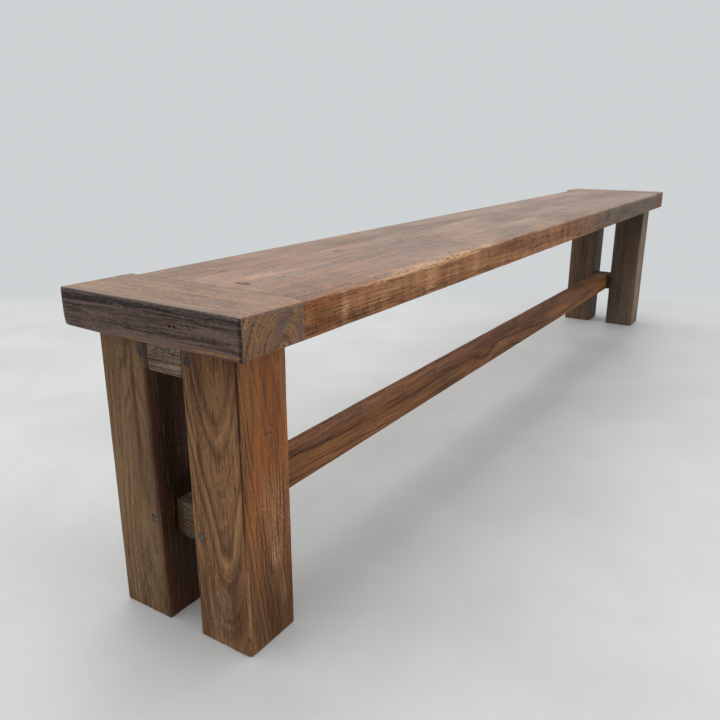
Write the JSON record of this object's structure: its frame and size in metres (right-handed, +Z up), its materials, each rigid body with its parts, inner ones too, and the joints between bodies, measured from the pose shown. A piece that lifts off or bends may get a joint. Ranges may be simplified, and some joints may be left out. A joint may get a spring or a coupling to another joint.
{
  "type": "backless bench",
  "caption": "Long backless bench of heavy reclaimed timber: a boarded seat between cross-grain end caps, post trestles and a low stretcher.",
  "frame": {"origin": "on the floor, under the middle of the seat", "axes": "+X along the bench, the near trestle at -X; +Y across it towards the back; +Z up"},
  "size_m": [2.11, 0.295, 0.45],
  "materials": {
    "seat_wood": "worn, matt oiled, warm brown",
    "cap_wood": "worn, matt oiled, with dark weathered end face",
    "post_wood": "matt oiled, honey to red brown",
    "rail_wood": "rough sawn, weathered grey brown",
    "stretcher_wood": "matt oiled, dark brown",
    "peg_wood": "dark end grain",
    "screw_steel": "dull zinc"
  },
  "bodies": {
    "root": {"seat_board_front": "seat_wood", "seat_board_middle": "seat_wood", "seat_board_back": "seat_wood", "board_dowels_front": "peg_wood", "board_dowels_back": "peg_wood", "stretcher": "stretcher_wood", "end_cap_near": "cap_wood", "cap_pins_near": "peg_wood", "post_near_front": "post_wood", "post_near_back": "post_wood", "upper_rail_near": "rail_wood", "lower_rail_near": "rail_wood", "upper_pegs_near": "peg_wood", "lower_pegs_near": "peg_wood", "seat_screws_near": "screw_steel", "stretcher_pin_near": "peg_wood", "end_cap_far": "cap_wood", "cap_pins_far": "peg_wood", "post_far_front": "post_wood", "post_far_back": "post_wood", "upper_rail_far": "rail_wood", "lower_rail_far": "rail_wood", "upper_pegs_far": "peg_wood", "lower_pegs_far": "peg_wood", "seat_screws_far": "screw_steel", "stretcher_pin_far": "peg_wood"}
  },
  "joints": []
}
